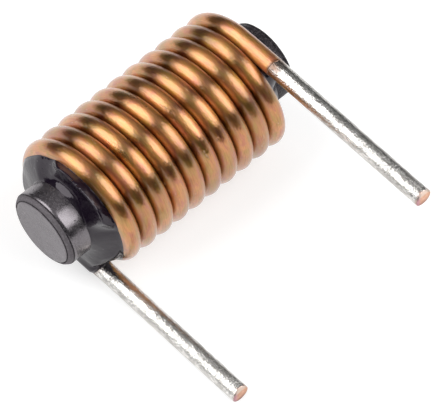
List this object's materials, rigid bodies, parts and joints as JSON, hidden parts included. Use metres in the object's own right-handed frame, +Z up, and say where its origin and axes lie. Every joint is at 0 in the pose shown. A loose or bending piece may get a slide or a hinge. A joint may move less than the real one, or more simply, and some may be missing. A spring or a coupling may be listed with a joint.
{
  "type": "rod core inductor",
  "caption": "Radial power inductor: chamfered ferrite rod in a one-layer coil of thick enamelled copper wire, both ends leaving one side as straight tinned leads, coil ends set in black resin.",
  "frame": {"origin": "bottom centre of the whole part as it lies: z = 0 is the line that the coil and the front lead rest on", "axes": "+X the way both leads leave the coil, +Y along the ferrite rod from the front end to the rear end, +Z up"},
  "size_m": [0.0254, 0.0234, 0.0116],
  "materials": {
    "ferrite": "sintered dark grey ferrite, satin, faintly speckled",
    "enamelled_copper": "copper wire under clear amber enamel, glossy",
    "tin": "hot-dipped tin, bright, slightly uneven",
    "black_resin": "black epoxy, glossy, cured with a rounded edge"
  },
  "bodies": {
    "root": {"ferrite_rod": "ferrite", "winding": "enamelled_copper", "front_lead_tin": "tin", "rear_lead_tin": "tin", "front_resin": "black_resin", "rear_resin": "black_resin"}
  },
  "joints": []
}
